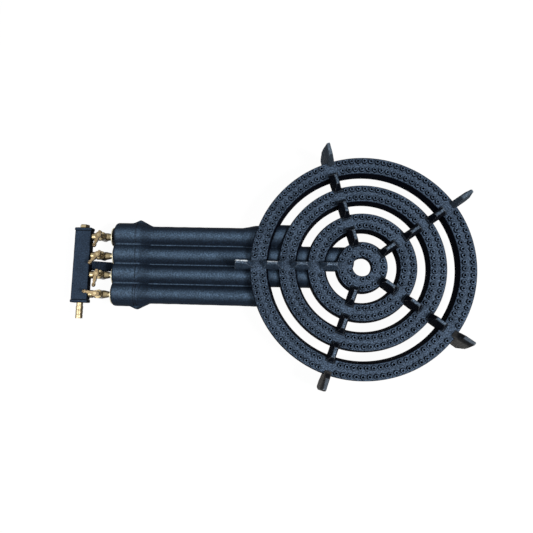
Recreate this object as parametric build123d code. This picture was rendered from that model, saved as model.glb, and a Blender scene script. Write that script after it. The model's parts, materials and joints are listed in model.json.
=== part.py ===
from build123d import *
import os
from math import degrees, pi, sqrt

# Four-ring cast-iron gas burner for a market stall, with four mixing tubes and a tap for each ring.
# Millimetres. +Z is up, the feet stand on z = 0, and the burner axis is parallel to Z.
# While the pieces are made, the burner axis is at x = 0 and the tubes run out along -X.

# Burner rings
RING_TOP = 75.0               # height of the port faces above the feet
RING_HEIGHT = 20.0            # depth of a ring from its port face to its floor
RING_OUTER_RADIUS = 165.0     # outer edge of the largest port face
RING_WIDTH = 24.2             # width of a port face
RING_COUNT = 4
CENTRE_HOLE_RADIUS = 12.7     # inner edge of the smallest port face
OUTER_DRAFT = 2.0             # the outer wall leans out by this much over its height
INNER_DRAFT = 2.5             # and the inner wall leans in by this much
COVER_THICKNESS = 5.0
COVER_LIP = 1.5               # how far the cover's locating lip reaches into the trough
COVER_EDGE_ROUND = 1.2
CHANNEL_WIDTH = 15.6          # gas channel inside a ring
TROUGH_FLOOR = 4.0
LIP_CLEARANCE = 0.15

# Gas ports: two rows on each cover, none over a spoke, each drilled through a round boss
PORT_DIAMETER = 2.8
PORT_SIDES = 6
BOSS_DIAMETER = 8.2
BOSS_HEIGHT = 2.4             # top of a boss above the port face
PORT_PITCH = 9.6
PORT_ROW_OFFSET = 6.2         # each row lies this far from the middle of the cover
PORT_CLEAR = 21.3             # length of each row kept free of ports at a spoke
PORT_CLEAR_SHARE = 0.45       # but no more than this share of the length between two spokes

# Spokes, with pan rests standing up between the rings
SPOKES = 5
FIRST_SPOKE = 36.0
REST_HEIGHT = 27.0            # top of a pan rest above the port faces
REST_DEPTH = 18.0             # how far the spoke reaches down between the rings
REST_LAP = 4.5                # the foot of a pan rest lies on the covers by this much
REST_INNER_LEAN = 6.0         # slope of the end that faces the burner axis
REST_OUTER_LEAN = 7.5
REST_TOP_THICKNESS = 4.0
REST_FOOT_THICKNESS = 10.6
REST_ROOT_THICKNESS = 12.0
REST_EDGE_ROUND = 1.2

# Legs: one blade each that is a foot below the outer ring and a pan rest above it
LEG_LAP = 5.5                 # the blade starts this far in from the edge of the outer cover
LEG_INNER_LEAN = 8.5
LEG_SHOULDER_HEIGHT = 29.0    # inner end of the top edge above the port faces
LEG_TIP_HEIGHT = 35.0
LEG_TIP_REACH = 18.0          # tip of the blade outside the edge of the outer cover
LEG_FOOT_REACH = 28.0         # outer corner of the foot outside that edge
LEG_FOOT_LENGTH = 11.0
LEG_KNEE_REACH = 26.0         # bend in the outer edge, outside the edge of the outer cover
LEG_KNEE_HEIGHT = 50.0        # and its height above the feet
LEG_SEAT = 11.0               # how far the blade reaches in under the outer ring
LEG_TOP_THICKNESS = 4.0
LEG_RING_THICKNESS = 9.6
LEG_FLOOR_THICKNESS = 10.0
LEG_FOOT_THICKNESS = 8.0
LEG_EDGE_ROUND = 1.0
REAR_LEG_ANGLE = 35.7         # rear legs to either side of +X
SIDE_LEG_ANGLE = 107.2        # side legs to either side of +X

# Mixing tubes
TUBE_PITCH = 30.3
TUBE_RADIUS = 14.6
TUBE_DROP = 33.5              # tube axes below the port faces
TUBE_BORE = 10.5              # bore radius
TUBE_MOUTH_X = -381.0
MOUTH_RADIUS = 19.5
MOUTH_BORE = 12.2             # bore radius at the mouth
MOUTH_LENGTH = 41.0
MOUTH_EDGE = 2.5
MOUTH_TAPER = 17.0            # length over which the mouth runs down to the tube
THROAT_LENGTH = 54.0          # length over which the bore narrows
TUBE_SWELL_RADII = [18.5, 16.0, 15.0, 15.0]   # the tubes are thicker under the rings
TUBE_SWELL_LEAD = 16.0        # and start to swell this far outside the outer ring
TUBE_SWELL_TAPER = 20.0
TUBE_END_WALL = 4.0
TUBE_END_ROUND = 6.0
RISER_RADIUS = 5.5            # way up from a tube into its ring
WEB_WIDTH = 8.0               # web that joins two tubes
WEB_HALF_HEIGHT = 4.5
MOUTH_WEB_HALF_HEIGHT = 13.5
SIDE_LUG_REACH = 24.3         # pointed lug on each outer tube, measured from its axis
SIDE_LUG_SETBACK = 41.0       # tube mouths to the middle of the lug
SIDE_LUG_LENGTH = 31.0
SIDE_LUG_HEIGHT = 12.0
STRAP_LUG_SETBACK = 24.0      # tube mouths to the lug that the strap is bolted to
STRAP_LUG_LENGTH = 24.0
STRAP_LUG_WIDTH = 15.0

# Gas manifold
MANIFOLD_GAP = 40.4           # tube mouths to the manifold's face
MANIFOLD_SHIFT = -2.5         # the manifold and its taps sit a little to the hose side of the tubes
MANIFOLD_WIDTH = 26.7
MANIFOLD_HEIGHT = 13.0
MANIFOLD_WALL = 2.5
MANIFOLD_LENGTH = 109.0
MANIFOLD_CORNER = 2.0
CAP_OVERHANG = 0.6            # the end plates stand out past the bar on all sides
CAP_THICKNESS = 5.0
CAP_CHAMFER = 1.0
END_THREAD_RADIUS = 4.5
PLUG_HEX = 13.5               # across flats
PLUG_HEAD = 5.0
BARB_RADIUS = 5.0             # plain root and crests of the ridges
BARB_VALLEY_RADIUS = 4.2
BARB_PLAIN_LENGTH = 11.0
BARB_RIDGE_LENGTH = 4.5
BARB_RIDGES = 3
BARB_BORE = 2.8
THREAD_CLEARANCE = 0.05

# Strap that holds the manifold to the tubes
STRAP_WIDTH = 15.0
STRAP_THICKNESS = 4.0
STRAP_JOGGLE_LEAD = 4.0       # the joggle starts this far from the manifold's face
STRAP_JOGGLE_LAG = 12.0       # and ends this far before the tube mouths
STRAP_END_MARGIN = 9.0
STRAP_BOLT_RADIUS = 3.0
STRAP_BOLT_HOLE = 3.3
STRAP_BOLT_HEX = 10.0
STRAP_BOLT_HEAD = 4.0
STRAP_BOLT_GRIP = 10.0        # length of bolt inside the lug
MANIFOLD_BOLT_GRIP = 6.0

# Taps
TAP_SPIGOT_RADIUS = 3.9
TAP_SPIGOT_LENGTH = 6.0
TAP_COLLAR_RADIUS = 6.2
TAP_COLLAR_LENGTH = 8.2
TAP_NECK_RADIUS = 4.6
TAP_NECK_LENGTH = 2.0
TAP_BARREL_RADIUS = 6.3
TAP_LENGTH = 31.4             # manifold face to the tap's outlet end
TAP_OUTLET_RADIUS = 5.0
TAP_OUTLET_TAPER = 6.0
TAP_BORE = 2.0
TAP_AXIS_REACH = 18.4         # manifold face to the axis of the plug
TAP_BOSS_RADIUS = 6.8
TAP_BOSS_HALF_HEIGHT = 8.0
PLUG_TOP_RADIUS = 5.2
PLUG_FOOT_RADIUS = 4.4
PLUG_CLEARANCE = 0.05
PLUG_FLANGE_RADIUS = 6.4
PLUG_FLANGE_GAP = 0.3
PLUG_FLANGE_THICKNESS = 1.8
STEM_RADIUS = 3.2
STEM_HEIGHT = 19.5            # lever seat above the tap axis
RIVET_RADIUS = 2.2
STUD_RADIUS = 2.5
STUD_LENGTH = 7.0
WASHER_RADIUS = 6.0
WASHER_THICKNESS = 0.8
WASHER_DISH = 0.8
NUT_HEX = 9.0
NUT_THICKNESS = 3.2
RUN_GAP = 0.3

# Levers
LEVER_HUB_RADIUS = 4.4
LEVER_THICKNESS = 4.0
LEVER_WIDTH = 4.6
LEVER_TAIL = 7.0
LEVER_REACH = 18.0            # plug axis to the middle of the ball end
LEVER_WAIST_WIDTH = 3.0
LEVER_WAIST_LENGTH = 3.0
LEVER_BALL_RADIUS = 2.9
LEVER_OPEN_ANGLE = 171.0      # lever direction with the tap fully open, counter-clockwise from +X
LEVER_ANGLES = [250.0, 230.0, 260.0, 171.0]   # as the levers stand, from the tube on the +Y side

# Jets and air shutters
JET_SHANK_RADIUS = 3.0
JET_SHANK_LENGTH = 6.0
JET_THREAD_RADIUS = 4.5
JET_LENGTH = 16.0
JET_TIP_RADIUS = 2.5
JET_TIP_LENGTH = 3.0
JET_ORIFICE = 0.6
SHUTTER_RADIUS = 14.8
SHUTTER_THICKNESS = 1.2
SHUTTER_HUB_RADIUS = 7.0
SHUTTER_HUB_LENGTH = 2.8
SHUTTER_STANDOFFS = [4.2, 0.6, 0.6, 0.6]      # disc to tube mouth, from the tube on the +Y side

# Worked out from the sizes above
TUBE_COUNT = 4
RING_STEP = (RING_OUTER_RADIUS - RING_WIDTH - CENTRE_HOLE_RADIUS) / (RING_COUNT - 1)
AXIS_Z = RING_TOP - TUBE_DROP
TUBE_YS = [TUBE_PITCH * (1.5 - i) for i in range(TUBE_COUNT)]
TAP_YS = [y + MANIFOLD_SHIFT for y in TUBE_YS]
FED_RING = [1, 3, 2, 0]       # ring fed by each tube, 0 is the largest
SPOKE_ANGLES = [FIRST_SPOKE + i * 360.0 / SPOKES for i in range(SPOKES)]
FRONT_SPOKE = 180.0
LEG_ANGLES = [REAR_LEG_ANGLE, SIDE_LEG_ANGLE, FRONT_SPOKE, -SIDE_LEG_ANGLE, -REAR_LEG_ANGLE]
SIDE_LUG_X = TUBE_MOUTH_X + SIDE_LUG_SETBACK
STRAP_LUG_X = TUBE_MOUTH_X + STRAP_LUG_SETBACK
MANIFOLD_FACE_X = TUBE_MOUTH_X - MANIFOLD_GAP
MANIFOLD_X = MANIFOLD_FACE_X - MANIFOLD_WIDTH / 2
MANIFOLD_BASE_Z = AXIS_Z - MANIFOLD_HEIGHT / 2
TAP_X = MANIFOLD_FACE_X + TAP_AXIS_REACH
TAP_END_X = MANIFOLD_FACE_X + TAP_LENGTH
STRAP_LOW_Z = AXIS_Z - MOUTH_RADIUS - RUN_GAP
REACH_LEFT = MANIFOLD_X - MANIFOLD_WIDTH / 2 - CAP_OVERHANG
REACH_RIGHT = RING_OUTER_RADIUS + OUTER_DRAFT
PLACE = Pos(-(REACH_LEFT + REACH_RIGHT) / 2, 0, 0)    # origin under the middle of the whole burner
UP = Axis.Z
FROM_BASE = (Align.CENTER, Align.CENTER, Align.MIN)
FROM_TOP = (Align.CENTER, Align.CENTER, Align.MAX)


def outer_radius(ring):
    """Outer edge of a ring's port face."""
    return RING_OUTER_RADIUS - ring * RING_STEP


def middle_radius(ring):
    """Middle of a ring's port face."""
    return outer_radius(ring) - RING_WIDTH / 2


def turned(points, axis=Axis.Z, plane=Plane.XZ):
    """Solid of revolution from an outline of (radius, height) points in a plane."""
    return revolve(plane * make_face(Polyline(*points, close=True)), axis)


def lathe(points, y):
    """Solid turned about a tube's axis, from an outline of (x, radius) points."""
    return Pos(0, y, AXIS_Z) * turned(points, Axis.X)


def blade(outline, section, reach):
    """Radial blade along +X: a side outline of (x, z) points thinned to a section of (y, z) points."""
    side = extrude(Plane.XZ * make_face(Polyline(*outline, close=True)), reach, both=True)
    along = extrude(Plane.YZ * make_face(Polyline(*section, close=True)), reach)
    return side & along


def mirrored(half):
    """Closed section outline from its (half width, z) points, listed from the foot up."""
    return [(w, z) for w, z in half] + [(-w, z) for w, z in reversed(half)]


def spun(shape, angle):
    """Copy of a shape turned about the burner axis."""
    return Rot(0, 0, angle) * shape


def save(name, *solids):
    """Write one node, as one solid or as a group of separate solids."""
    placed = [PLACE * s for s in solids]
    shape = placed[0] if len(placed) == 1 else Compound(children=placed)
    export_step(shape, f"parts/{name}.step")


# Rings


def ring_body(ring):
    """Full ring without its channel, used to fit other pieces against it."""
    r_out = outer_radius(ring)
    r_in = r_out - RING_WIDTH
    low = RING_TOP - RING_HEIGHT
    return turned([(r_out, RING_TOP), (r_out + OUTER_DRAFT, low),
                   (r_in - INNER_DRAFT, low), (r_in, RING_TOP)])


def riser_spot(tube):
    """Where a tube opens up into the ring it feeds."""
    y = TUBE_YS[tube]
    return -sqrt(middle_radius(FED_RING[tube]) ** 2 - y ** 2), y


def ring_trough(ring):
    """Open-topped channel of a ring, with the hole that its tube feeds."""
    r_out = outer_radius(ring)
    r_in = r_out - RING_WIDTH
    mid = middle_radius(ring)
    low = RING_TOP - RING_HEIGHT
    seat = RING_TOP - COVER_THICKNESS
    share = COVER_THICKNESS / RING_HEIGHT
    half = CHANNEL_WIDTH / 2
    floor = low + TROUGH_FLOOR
    body = turned([(r_out + OUTER_DRAFT * share, seat), (r_out + OUTER_DRAFT, low),
                   (r_in - INNER_DRAFT, low), (r_in - INNER_DRAFT * share, seat),
                   (mid - half, seat), (mid - half, floor), (mid + half, floor), (mid + half, seat)])
    x, y = riser_spot(FED_RING.index(ring))
    return body - Pos(x, y, low) * Cylinder(RISER_RADIUS, 4 * TROUGH_FLOOR)


def port_spots(ring):
    """Angle and radius of each port: rows centred between the spokes."""
    spots = []
    for side in (1, -1):
        radius = middle_radius(ring) + side * PORT_ROW_OFFSET
        sector = 2 * pi * radius / SPOKES
        count = 1 + int((sector - min(PORT_CLEAR, PORT_CLEAR_SHARE * sector)) / PORT_PITCH)
        step = degrees(PORT_PITCH / radius)
        for spoke in SPOKE_ANGLES:
            start = spoke + 180.0 / SPOKES - step * (count - 1) / 2
            spots += [(start + step * k, radius) for k in range(count)]
    return spots


def ring_cover(ring):
    """Cover of a ring: rounded port face, locating lip and two rows of bosses with drilled ports."""
    r_out = outer_radius(ring)
    r_in = r_out - RING_WIDTH
    mid = middle_radius(ring)
    seat = RING_TOP - COVER_THICKNESS
    share = COVER_THICKNESS / RING_HEIGHT
    half = CHANNEL_WIDTH / 2 - LIP_CLEARANCE
    body = turned([(r_out, RING_TOP), (r_out + OUTER_DRAFT * share, seat), (mid + half, seat),
                   (mid + half, seat - COVER_LIP), (mid - half, seat - COVER_LIP), (mid - half, seat),
                   (r_in - INNER_DRAFT * share, seat), (r_in, RING_TOP)])
    rims = body.edges().filter_by(GeomType.CIRCLE).group_by(UP)[-1]
    body = fillet(rims, COVER_EDGE_ROUND)
    spots = [Rot(0, 0, a) * Pos(r, 0, RING_TOP + BOSS_HEIGHT) for a, r in port_spots(ring)]
    boss = Cylinder(BOSS_DIAMETER / 2, BOSS_HEIGHT + COVER_THICKNESS / 2, align=FROM_TOP)
    depth = BOSS_HEIGHT + COVER_THICKNESS + COVER_LIP
    port = extrude(RegularPolygon(PORT_DIAMETER / 2, PORT_SIDES), depth + 1, both=True)
    body += [spot * boss for spot in spots]
    return body - [spot * port for spot in spots]


# Mixing tubes


def tube_end(tube):
    """Closed far end of a tube, just past its riser."""
    return riser_spot(tube)[0] + RISER_RADIUS + TUBE_END_WALL


def tube_outside(tube):
    """Outside of one tube: bell mouth, taper, swelling under the rings and rounded end."""
    end = tube_end(tube)
    neck = TUBE_MOUTH_X + MOUTH_LENGTH
    swell = -RING_OUTER_RADIUS - TUBE_SWELL_LEAD
    thick = TUBE_SWELL_RADII[tube]
    body = lathe([(TUBE_MOUTH_X, 0), (TUBE_MOUTH_X, MOUTH_RADIUS - MOUTH_EDGE),
                  (TUBE_MOUTH_X + MOUTH_EDGE, MOUTH_RADIUS), (neck, MOUTH_RADIUS),
                  (neck + MOUTH_TAPER, TUBE_RADIUS), (swell, TUBE_RADIUS),
                  (swell + TUBE_SWELL_TAPER, thick), (end, thick), (end, 0)], TUBE_YS[tube])
    far = body.edges().filter_by(GeomType.CIRCLE).group_by(Axis.X)[-1]
    return fillet(far, TUBE_END_ROUND)


def tube_bore(tube):
    """Inside of one tube: narrowing mouth, straight bore and the riser into its ring."""
    x, y = riser_spot(tube)
    stop = tube_end(tube) - TUBE_END_WALL
    throat = TUBE_MOUTH_X + THROAT_LENGTH
    bore = lathe([(TUBE_MOUTH_X - 1, 0), (TUBE_MOUTH_X - 1, MOUTH_BORE), (TUBE_MOUTH_X, MOUTH_BORE),
                  (throat, TUBE_BORE), (stop, TUBE_BORE), (stop, 0)], y)
    riser = Pos(x, y, AXIS_Z) * Cylinder(RISER_RADIUS, TUBE_DROP, align=FROM_BASE)
    return bore + riser


def web(left):
    """Web that joins a tube to the next one, as long as the shorter of the two."""
    stop = min(tube_end(left), tube_end(left + 1)) - TUBE_END_ROUND
    start = TUBE_MOUTH_X + MOUTH_EDGE
    neck = TUBE_MOUTH_X + MOUTH_LENGTH
    taper = neck + MOUTH_TAPER
    upper = [(start, MOUTH_WEB_HALF_HEIGHT), (neck, MOUTH_WEB_HALF_HEIGHT), (taper, WEB_HALF_HEIGHT),
             (stop, WEB_HALF_HEIGHT)]
    lower = [(x, -z) for x, z in reversed(upper)]
    side = Plane.XZ * make_face(Polyline(*upper, *lower, close=True))
    y = (TUBE_YS[left] + TUBE_YS[left + 1]) / 2
    return Pos(0, y, AXIS_Z) * extrude(side, WEB_WIDTH / 2, both=True)


def side_lug(side):
    """Pointed lug on the outer side of an outer tube."""
    y = max(TUBE_YS)
    reach = y + SIDE_LUG_REACH
    points = [(SIDE_LUG_X - SIDE_LUG_LENGTH / 2, y), (SIDE_LUG_X - SIDE_LUG_LENGTH / 2, y + TUBE_RADIUS),
              (SIDE_LUG_X, reach), (SIDE_LUG_X + SIDE_LUG_LENGTH / 2, y + TUBE_RADIUS),
              (SIDE_LUG_X + SIDE_LUG_LENGTH / 2, y)]
    face = make_face(Polyline(*points, close=True))
    lug = Pos(0, 0, AXIS_Z) * extrude(face, SIDE_LUG_HEIGHT / 2, both=True)
    return lug if side > 0 else mirror(lug, Plane.XZ)


def strap_lug():
    """Flat lug under the two middle tubes that the strap is bolted to."""
    height = MOUTH_RADIUS + RUN_GAP
    block = Box(STRAP_LUG_LENGTH, STRAP_LUG_WIDTH, height)
    return Pos(STRAP_LUG_X, MANIFOLD_SHIFT, AXIS_Z - height / 2) * block


def tubes_outside():
    """The four tubes as one casting, before the bores."""
    body = tube_outside(0)
    for tube in range(1, TUBE_COUNT):
        body += tube_outside(tube)
    for left in range(TUBE_COUNT - 1):
        body += web(left)
    body += [side_lug(1), side_lug(-1), strap_lug()]
    return body


def mixer_tubes(outside, rings):
    """The four tubes with their bores, cut to sit under the rings."""
    body = outside
    for tube in range(TUBE_COUNT):
        body -= tube_bore(tube)
    for ring in rings:
        body -= ring
    tapped = STRAP_BOLT_RADIUS + THREAD_CLEARANCE
    body -= Pos(STRAP_LUG_X, MANIFOLD_SHIFT, STRAP_LOW_Z) * Cylinder(tapped, 2 * (STRAP_BOLT_GRIP + 1))
    return body


# Pan rests and legs


def pan_rest(gap, rings):
    """Spoke across one gap, with the pan rest that stands on it."""
    start = outer_radius(gap + 1)
    stop = outer_radius(gap) - RING_WIDTH
    top = RING_TOP + REST_HEIGHT
    low = RING_TOP - REST_DEPTH
    outline = [(start - REST_LAP, low), (start - REST_LAP, RING_TOP),
               (start - REST_LAP + REST_INNER_LEAN, top), (stop + REST_LAP - REST_OUTER_LEAN, top),
               (stop + REST_LAP, RING_TOP), (stop + REST_LAP, low)]
    section = mirrored([(REST_ROOT_THICKNESS / 2, low), (REST_FOOT_THICKNESS / 2, RING_TOP),
                        (REST_TOP_THICKNESS / 2, top)])
    body = blade(outline, section, RING_OUTER_RADIUS)
    body = fillet(body.edges().group_by(UP)[-1], REST_EDGE_ROUND)
    return body - rings[gap] - rings[gap + 1]


def leg_blade(rings):
    """One leg: foot, seat under the outer ring and pan rest above it."""
    edge = RING_OUTER_RADIUS
    low = RING_TOP - RING_HEIGHT
    inner = edge - LEG_LAP
    foot = edge + LEG_FOOT_REACH
    outline = [(inner, RING_TOP), (inner + LEG_INNER_LEAN, RING_TOP + LEG_SHOULDER_HEIGHT),
               (edge + LEG_TIP_REACH, RING_TOP + LEG_TIP_HEIGHT),
               (edge + LEG_KNEE_REACH, LEG_KNEE_HEIGHT), (foot, 0),
               (foot - LEG_FOOT_LENGTH, 0), (edge - LEG_SEAT, low)]
    section = mirrored([(LEG_FOOT_THICKNESS / 2, 0), (LEG_FLOOR_THICKNESS / 2, low),
                        (LEG_RING_THICKNESS / 2, RING_TOP),
                        (LEG_TOP_THICKNESS / 2, RING_TOP + LEG_TIP_HEIGHT)])
    body = blade(outline, section, edge + LEG_FOOT_REACH)
    shoulder = RING_TOP + LEG_SHOULDER_HEIGHT - LEG_EDGE_ROUND
    top_edges = [e for e in body.edges() if min(v.Z for v in e.vertices()) > shoulder]
    body = fillet([e for e in top_edges if e.length > LEG_RING_THICKNESS], LEG_EDGE_ROUND)
    return body - rings[0]


# Manifold


def hexagon(flats, length):
    """Hexagonal bar along +Z."""
    return extrude(RegularPolygon(flats / 2, 6, major_radius=False), length)


def manifold_bar():
    """Flat hollow bar along Y, drilled for the four taps and the strap bolt."""
    outer = RectangleRounded(MANIFOLD_WIDTH, MANIFOLD_HEIGHT, MANIFOLD_CORNER)
    inner = Rectangle(MANIFOLD_WIDTH - 2 * MANIFOLD_WALL, MANIFOLD_HEIGHT - 2 * MANIFOLD_WALL)
    bar = extrude(Plane.XZ * (outer - inner), MANIFOLD_LENGTH / 2, both=True)
    bar = Pos(MANIFOLD_X, MANIFOLD_SHIFT, AXIS_Z) * bar
    across = Rot(0, 90, 0) * Cylinder(TAP_SPIGOT_RADIUS + THREAD_CLEARANCE, 3 * MANIFOLD_WALL)
    bar -= [Pos(MANIFOLD_FACE_X, y, AXIS_Z) * across for y in TAP_YS]
    tapped = Cylinder(STRAP_BOLT_RADIUS + THREAD_CLEARANCE, 3 * MANIFOLD_WALL)
    return bar - Pos(MANIFOLD_X, MANIFOLD_SHIFT, MANIFOLD_BASE_Z) * tapped


def manifold_cap(side):
    """End plate, tapped for the plug or the hose barb."""
    plate = Box(MANIFOLD_WIDTH + 2 * CAP_OVERHANG, CAP_THICKNESS, MANIFOLD_HEIGHT + 2 * CAP_OVERHANG)
    plate = chamfer(plate.edges(), CAP_CHAMFER)
    plate -= Rot(90, 0, 0) * Cylinder(END_THREAD_RADIUS + THREAD_CLEARANCE, 2 * CAP_THICKNESS)
    y = MANIFOLD_SHIFT + side * (MANIFOLD_LENGTH + CAP_THICKNESS) / 2
    return Pos(MANIFOLD_X, y, AXIS_Z) * plate


def end_place(side):
    """Place on the outside of an end plate, with +Z pointing out of the manifold."""
    y = MANIFOLD_SHIFT + side * (MANIFOLD_LENGTH / 2 + CAP_THICKNESS)
    return Pos(MANIFOLD_X, y, AXIS_Z) * Rot(-90 * side, 0, 0)


def manifold_plug():
    """Brass plug in the end plate on the +Y side."""
    thread = Cylinder(END_THREAD_RADIUS, CAP_THICKNESS, align=FROM_TOP)
    head = chamfer(hexagon(PLUG_HEX, PLUG_HEAD).edges().group_by(UP)[-1], PLUG_HEAD / 5)
    return end_place(1) * (thread + head)


def hose_barb():
    """Brass hose tail in the end plate on the -Y side: plain root, ridges and a bore."""
    points = [(BARB_BORE, -CAP_THICKNESS), (END_THREAD_RADIUS, -CAP_THICKNESS),
              (END_THREAD_RADIUS, 0), (BARB_RADIUS, 0)]
    for k in range(BARB_RIDGES):
        foot = BARB_PLAIN_LENGTH + k * BARB_RIDGE_LENGTH
        points += [(BARB_RADIUS, foot), (BARB_VALLEY_RADIUS, foot + BARB_RIDGE_LENGTH)]
    points += [(BARB_BORE, BARB_PLAIN_LENGTH + BARB_RIDGES * BARB_RIDGE_LENGTH)]
    return end_place(-1) * turned(points)


def manifold_strap():
    """Joggled flat strap from under the manifold to the lug under the tubes."""
    start = MANIFOLD_X - STRAP_END_MARGIN
    stop = STRAP_LUG_X + STRAP_END_MARGIN
    upper = [(start, MANIFOLD_BASE_Z), (MANIFOLD_FACE_X + STRAP_JOGGLE_LEAD, MANIFOLD_BASE_Z),
             (TUBE_MOUTH_X - STRAP_JOGGLE_LAG, STRAP_LOW_Z), (stop, STRAP_LOW_Z)]
    lower = [(x, z - STRAP_THICKNESS) for x, z in reversed(upper)]
    strap = extrude(Plane.XZ * make_face(Polyline(*upper, *lower, close=True)), STRAP_WIDTH / 2, both=True)
    hole = Cylinder(STRAP_BOLT_HOLE, 4 * STRAP_THICKNESS)
    strap -= [Pos(MANIFOLD_X, 0, MANIFOLD_BASE_Z) * hole, Pos(STRAP_LUG_X, 0, STRAP_LOW_Z) * hole]
    return Pos(0, MANIFOLD_SHIFT, 0) * strap


def strap_bolt(x, seat_z, grip):
    """Hexagon bolt from below, with its head on the underside of the strap."""
    shank = Cylinder(STRAP_BOLT_RADIUS, STRAP_THICKNESS + grip, align=FROM_BASE)
    head = Rot(180, 0, 0) * hexagon(STRAP_BOLT_HEX, STRAP_BOLT_HEAD)
    return Pos(x, MANIFOLD_SHIFT, seat_z - STRAP_THICKNESS) * (shank + head)


# Taps


def tap_body(y):
    """Brass tap body: threaded inlet, collar, barrel and the upright boss for the plug."""
    x = MANIFOLD_FACE_X
    collar = x + TAP_COLLAR_LENGTH
    neck = collar + TAP_NECK_LENGTH
    round_off = TAP_COLLAR_LENGTH / 6
    inlet = x - TAP_SPIGOT_LENGTH
    barrel = lathe([(inlet, 0), (inlet, TAP_SPIGOT_RADIUS), (x, TAP_SPIGOT_RADIUS),
                    (x, TAP_COLLAR_RADIUS - round_off), (x + round_off, TAP_COLLAR_RADIUS),
                    (collar - round_off, TAP_COLLAR_RADIUS), (collar, TAP_COLLAR_RADIUS - round_off),
                    (collar, TAP_NECK_RADIUS), (neck, TAP_NECK_RADIUS), (neck, TAP_BARREL_RADIUS),
                    (TAP_END_X - TAP_OUTLET_TAPER, TAP_BARREL_RADIUS), (TAP_END_X, TAP_OUTLET_RADIUS),
                    (TAP_END_X, 0)], y)
    boss = Pos(TAP_X, y, AXIS_Z) * Cylinder(TAP_BOSS_RADIUS, 2 * TAP_BOSS_HALF_HEIGHT)
    jet_seat = TAP_END_X - JET_SHANK_LENGTH
    tapped = JET_SHANK_RADIUS + THREAD_CLEARANCE
    way = lathe([(inlet - 1, 0), (inlet - 1, TAP_BORE), (jet_seat, TAP_BORE), (jet_seat, tapped),
                 (TAP_END_X + 1, tapped), (TAP_END_X + 1, 0)], y)
    h = TAP_BOSS_HALF_HEIGHT
    seat = Pos(TAP_X, y, AXIS_Z) * turned([(0, -h), (PLUG_FOOT_RADIUS, -h), (PLUG_TOP_RADIUS, h), (0, h)])
    return barrel + boss - way - seat


def tap_plug(y, angle):
    """Tapered plug with its stem, stud and gas way, which lines up with the barrel when open."""
    h = TAP_BOSS_HALF_HEIGHT
    flange = h + PLUG_FLANGE_GAP
    shoulder = flange + PLUG_FLANGE_THICKNESS
    top = STEM_HEIGHT + LEVER_THICKNESS
    body = turned([(0, -h - STUD_LENGTH), (STUD_RADIUS, -h - STUD_LENGTH), (STUD_RADIUS, -h),
                   (PLUG_FOOT_RADIUS - PLUG_CLEARANCE, -h), (PLUG_TOP_RADIUS - PLUG_CLEARANCE, h),
                   (PLUG_TOP_RADIUS - PLUG_CLEARANCE, flange), (PLUG_FLANGE_RADIUS, flange),
                   (PLUG_FLANGE_RADIUS, shoulder), (STEM_RADIUS, shoulder), (STEM_RADIUS, STEM_HEIGHT),
                   (RIVET_RADIUS, STEM_HEIGHT), (RIVET_RADIUS, top), (0, top)])
    body -= Rot(0, 90, 0) * Cylinder(TAP_BORE, 4 * PLUG_TOP_RADIUS)
    return Pos(TAP_X, y, AXIS_Z) * Rot(0, 0, angle - LEVER_OPEN_ANGLE) * body


def tap_lever(y, angle):
    """Flat lever riveted to the stem, with a waist and a ball end."""
    t = LEVER_THICKNESS
    bar = RectangleRounded(LEVER_REACH + LEVER_TAIL, LEVER_WIDTH, LEVER_WIDTH / 3)
    flat = Pos((LEVER_REACH - LEVER_TAIL) / 2, 0, 0) * bar
    flat += Circle(LEVER_HUB_RADIUS)
    waist = Pos(LEVER_REACH - LEVER_BALL_RADIUS - LEVER_WAIST_LENGTH / 2, 0, 0)
    for side in (1, -1):
        offset = side * (LEVER_WAIST_WIDTH / 2 + LEVER_WIDTH / 2)
        flat -= waist * Pos(0, offset, 0) * Rectangle(LEVER_WAIST_LENGTH, LEVER_WIDTH)
    body = extrude(flat, t) + Pos(LEVER_REACH, 0, t / 2) * Sphere(LEVER_BALL_RADIUS)
    body -= Cylinder(RIVET_RADIUS + THREAD_CLEARANCE, 3 * t)
    return Pos(TAP_X, y, AXIS_Z + STEM_HEIGHT) * Rot(0, 0, angle) * body


def spring_washer(y):
    """Dished spring washer that pulls the plug down into its seat."""
    high = -TAP_BOSS_HALF_HEIGHT - RUN_GAP
    hole = STUD_RADIUS + THREAD_CLEARANCE
    rim = high - WASHER_DISH
    ring = turned([(hole, high - WASHER_DISH - WASHER_THICKNESS), (WASHER_RADIUS, high - WASHER_THICKNESS),
                   (WASHER_RADIUS, high), (hole, rim)])
    return Pos(TAP_X, y, AXIS_Z) * ring


def plug_nut(y):
    """Nut on the plug's stud, under the spring washer."""
    high = -TAP_BOSS_HALF_HEIGHT - RUN_GAP - WASHER_DISH - WASHER_THICKNESS
    nut = hexagon(NUT_HEX, NUT_THICKNESS) - Cylinder(STUD_RADIUS + THREAD_CLEARANCE, 3 * NUT_THICKNESS)
    return Pos(TAP_X, y, AXIS_Z + high - NUT_THICKNESS) * nut


def gas_jet(y):
    """Brass jet screwed into the tap, threaded outside for the air shutter."""
    x = TAP_END_X
    tip = x + JET_LENGTH
    foot = x - JET_SHANK_LENGTH
    return lathe([(foot, JET_ORIFICE), (foot, JET_SHANK_RADIUS), (x, JET_SHANK_RADIUS),
                  (x, JET_THREAD_RADIUS), (tip - JET_TIP_LENGTH, JET_THREAD_RADIUS), (tip, JET_TIP_RADIUS),
                  (tip, JET_ORIFICE)], y)


def air_shutter(y, standoff):
    """Round air shutter with a threaded hub, running on the jet in front of the tube mouth."""
    face = TUBE_MOUTH_X - standoff
    back = face - SHUTTER_THICKNESS
    bore = JET_THREAD_RADIUS + THREAD_CLEARANCE
    hub = back - SHUTTER_HUB_LENGTH
    return lathe([(hub, bore), (hub, SHUTTER_HUB_RADIUS), (back, SHUTTER_HUB_RADIUS),
                  (back, SHUTTER_RADIUS), (face, SHUTTER_RADIUS), (face, bore)], y)


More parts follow.
